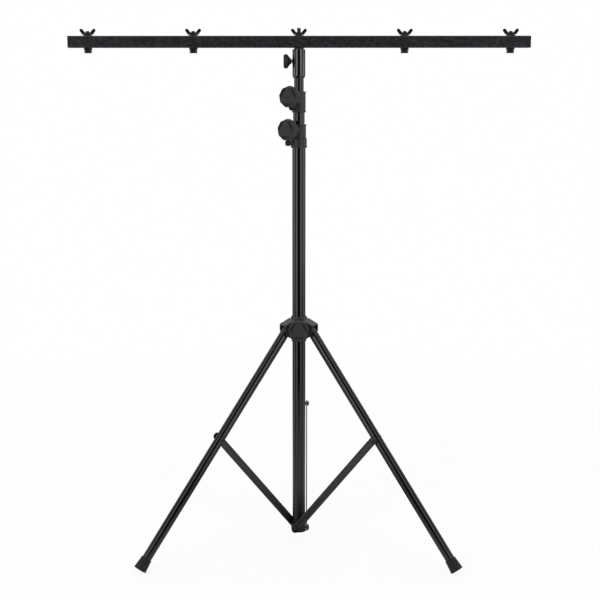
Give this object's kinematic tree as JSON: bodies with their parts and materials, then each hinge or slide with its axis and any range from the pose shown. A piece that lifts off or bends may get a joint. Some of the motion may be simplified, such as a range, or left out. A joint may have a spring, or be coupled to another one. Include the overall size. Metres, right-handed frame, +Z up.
{
  "type": "lighting t bar stand",
  "caption": "Folding tripod with a three-stage telescopic mast, clamping knobs and a square cross bar with wing-nut bolts for hanging stage lights.",
  "frame": {"origin": "on the floor under the middle of the footprint box of the stand", "axes": "+Z up along the mast, +X along the cross bar to the right of the picture view, -Y towards the viewer with the crown knob; the third leg points along +Y"},
  "size_m": [1.192, 0.739, 1.387],
  "materials": {
    "tube_black": "gloss powder coat",
    "bar_black": "satin powder coat",
    "black_steel": "black zinc",
    "dark_zinc": "dark zinc",
    "grey_plastic": "fine moulded grain",
    "black_plastic": "satin",
    "nylon": "smooth",
    "rubber": "matt"
  },
  "bodies": {
    "mast": {"outer_tube": "tube_black", "tripod_hub": "black_plastic", "hub_pivot_bolt_1": "black_steel", "hub_pivot_bolt_2": "black_steel", "hub_pivot_bolt_3": "black_steel", "lower_collar": "grey_plastic", "lower_collar_clamp_shoe": "nylon"},
    "crown": {"crown": "grey_plastic", "crown_clamp_shoe": "nylon", "leg_pivot_bolt_1": "black_steel", "leg_pivot_bolt_2": "black_steel", "leg_pivot_bolt_3": "black_steel"},
    "crown_knob": {"crown_knob": "grey_plastic", "crown_knob_stud": "dark_zinc"},
    "lower_collar_knob": {"lower_collar_knob": "grey_plastic", "lower_collar_knob_stud": "dark_zinc"},
    "lower_index_pin": {"lower_index_pin": "black_steel"},
    "mid_stage": {"mid_tube": "tube_black", "mid_tube_guide": "nylon", "upper_collar": "grey_plastic", "upper_collar_clamp_shoe": "nylon"},
    "upper_collar_knob": {"upper_collar_knob": "grey_plastic", "upper_collar_knob_stud": "dark_zinc"},
    "upper_index_pin": {"upper_index_pin": "black_steel"},
    "inner_stage": {"inner_tube": "tube_black", "inner_tube_guide": "nylon"},
    "head": {"bar_sleeve": "tube_black", "bar_stud": "black_steel", "t_bar": "bar_black", "end_cap_left": "black_plastic", "end_cap_right": "black_plastic", "fixture_bolt_1": "dark_zinc", "fixture_bolt_2": "dark_zinc", "fixture_bolt_4": "dark_zinc", "fixture_bolt_5": "dark_zinc"},
    "sleeve_knob": {"sleeve_knob": "black_plastic", "sleeve_knob_stud": "dark_zinc"},
    "leg_1": {"leg_tube_1": "tube_black", "rubber_foot_1": "rubber", "strut_bolt_1": "black_steel", "strut_spacer_1": "black_plastic"},
    "strut_1": {"strut_1": "tube_black", "strut_nut_1": "black_steel"},
    "leg_2": {"leg_tube_2": "tube_black", "rubber_foot_2": "rubber", "strut_bolt_2": "black_steel", "strut_spacer_2": "black_plastic"},
    "strut_2": {"strut_2": "tube_black", "strut_nut_2": "black_steel"},
    "leg_3": {"leg_tube_3": "tube_black", "rubber_foot_3": "rubber", "strut_bolt_3": "black_steel", "strut_spacer_3": "black_plastic"},
    "strut_3": {"strut_3": "tube_black", "strut_nut_3": "black_steel"},
    "wing_nut_1": {"wing_nut_1": "black_steel"},
    "wing_nut_2": {"wing_nut_2": "black_steel"},
    "wing_nut_3": {"wing_nut_3": "black_steel"},
    "wing_nut_4": {"wing_nut_4": "black_steel"},
    "wing_nut_5": {"wing_nut_5": "black_steel"}
  },
  "joints": [
    {"name": "crown_slide", "type": "slide", "parent": "mast", "child": "crown", "axis": [0, 0, 1], "range_m": [0, 0.14861]},
    {"name": "leg_hinge_1", "type": "hinge", "parent": "crown", "child": "leg_1", "pos_m": [0.03161, -0.13511, 0.59826], "axis": [0.5, 0.866, 0], "range_deg": [0, 35.52]},
    {"name": "leg_hinge_2", "type": "hinge", "parent": "crown", "child": "leg_2", "pos_m": [-0.03161, -0.13511, 0.59826], "axis": [0.5, -0.866, 0], "range_deg": [0, 35.52]},
    {"name": "leg_hinge_3", "type": "hinge", "parent": "crown", "child": "leg_3", "pos_m": [0, -0.08036, 0.59826], "axis": [-1, 0, 0], "range_deg": [0, 35.52]},
    {"name": "strut_hinge_1", "type": "hinge", "parent": "mast", "child": "strut_1", "pos_m": [-0.0105, -0.13505, 0.03613], "axis": [0.5, 0.866, 0], "range_deg": [-32.81, 0]},
    {"name": "strut_hinge_2", "type": "hinge", "parent": "mast", "child": "strut_2", "pos_m": [-0.0105, -0.09867, 0.03613], "axis": [0.5, -0.866, 0], "range_deg": [-32.81, 0]},
    {"name": "strut_hinge_3", "type": "hinge", "parent": "mast", "child": "strut_3", "pos_m": [0.021, -0.11686, 0.03613], "axis": [-1, 0, 0], "range_deg": [-32.81, 0]},
    {"name": "mid_stage_slide", "type": "slide", "parent": "mast", "child": "mid_stage", "axis": [0, 0, 1], "range_m": [0, 0.8]},
    {"name": "inner_stage_slide", "type": "slide", "parent": "mid_stage", "child": "inner_stage", "axis": [0, 0, 1], "range_m": [0, 0.8]},
    {"name": "bar_swivel", "type": "hinge", "parent": "inner_stage", "child": "head", "pos_m": [0, -0.11686, 1.352], "axis": [0, 0, 1], "continuous": true},
    {"name": "crown_knob_turn", "type": "hinge", "parent": "crown", "child": "crown_knob", "pos_m": [0, -0.15686, 0.60226], "axis": [0, -1, 0], "continuous": true},
    {"name": "lower_collar_knob_turn", "type": "hinge", "parent": "mast", "child": "lower_collar_knob", "pos_m": [-0.02294, -0.14963, 1.128], "axis": [-0.5736, -0.8192, 0], "continuous": true},
    {"name": "upper_collar_knob_turn", "type": "hinge", "parent": "mid_stage", "child": "upper_collar_knob", "pos_m": [-0.01909, -0.15201, 1.212], "axis": [-0.4772, -0.8788, 0], "continuous": true},
    {"name": "sleeve_knob_turn", "type": "hinge", "parent": "head", "child": "sleeve_knob", "pos_m": [-0.04, -0.11686, 1.303], "axis": [-1, 0, 0], "continuous": true},
    {"name": "wing_nut_turn_1", "type": "hinge", "parent": "head", "child": "wing_nut_1", "pos_m": [-0.5456, -0.11686, 1.3673], "axis": [0, 0, 1], "continuous": true},
    {"name": "wing_nut_turn_2", "type": "hinge", "parent": "head", "child": "wing_nut_2", "pos_m": [-0.2728, -0.11686, 1.3673], "axis": [0, 0, 1], "continuous": true},
    {"name": "wing_nut_turn_3", "type": "hinge", "parent": "head", "child": "wing_nut_3", "pos_m": [0, -0.11686, 1.3673], "axis": [0, 0, 1], "continuous": true},
    {"name": "wing_nut_turn_4", "type": "hinge", "parent": "head", "child": "wing_nut_4", "pos_m": [0.2728, -0.11686, 1.3673], "axis": [0, 0, 1], "continuous": true},
    {"name": "wing_nut_turn_5", "type": "hinge", "parent": "head", "child": "wing_nut_5", "pos_m": [0.5456, -0.11686, 1.3673], "axis": [0, 0, 1], "continuous": true},
    {"name": "lower_pin_pull", "type": "slide", "parent": "mast", "child": "lower_index_pin", "axis": [-0.9063, -0.4226, 0], "range_m": [0, 0.006], "stiffness_N_per_m": 900, "springref_m": -0.004},
    {"name": "upper_pin_pull", "type": "slide", "parent": "mid_stage", "child": "upper_index_pin", "axis": [-0.682, -0.7314, 0], "range_m": [0, 0.006], "stiffness_N_per_m": 900, "springref_m": -0.004}
  ],
  "couplings": [
    {"joint": "leg_hinge_1", "follows": "crown_slide", "rad_per_m": 4.1692},
    {"joint": "leg_hinge_2", "follows": "crown_slide", "rad_per_m": 4.1692},
    {"joint": "leg_hinge_3", "follows": "crown_slide", "rad_per_m": 4.1692},
    {"joint": "strut_hinge_1", "follows": "crown_slide", "rad_per_m": -3.8513},
    {"joint": "strut_hinge_2", "follows": "crown_slide", "rad_per_m": -3.8513},
    {"joint": "strut_hinge_3", "follows": "crown_slide", "rad_per_m": -3.8513}
  ]
}
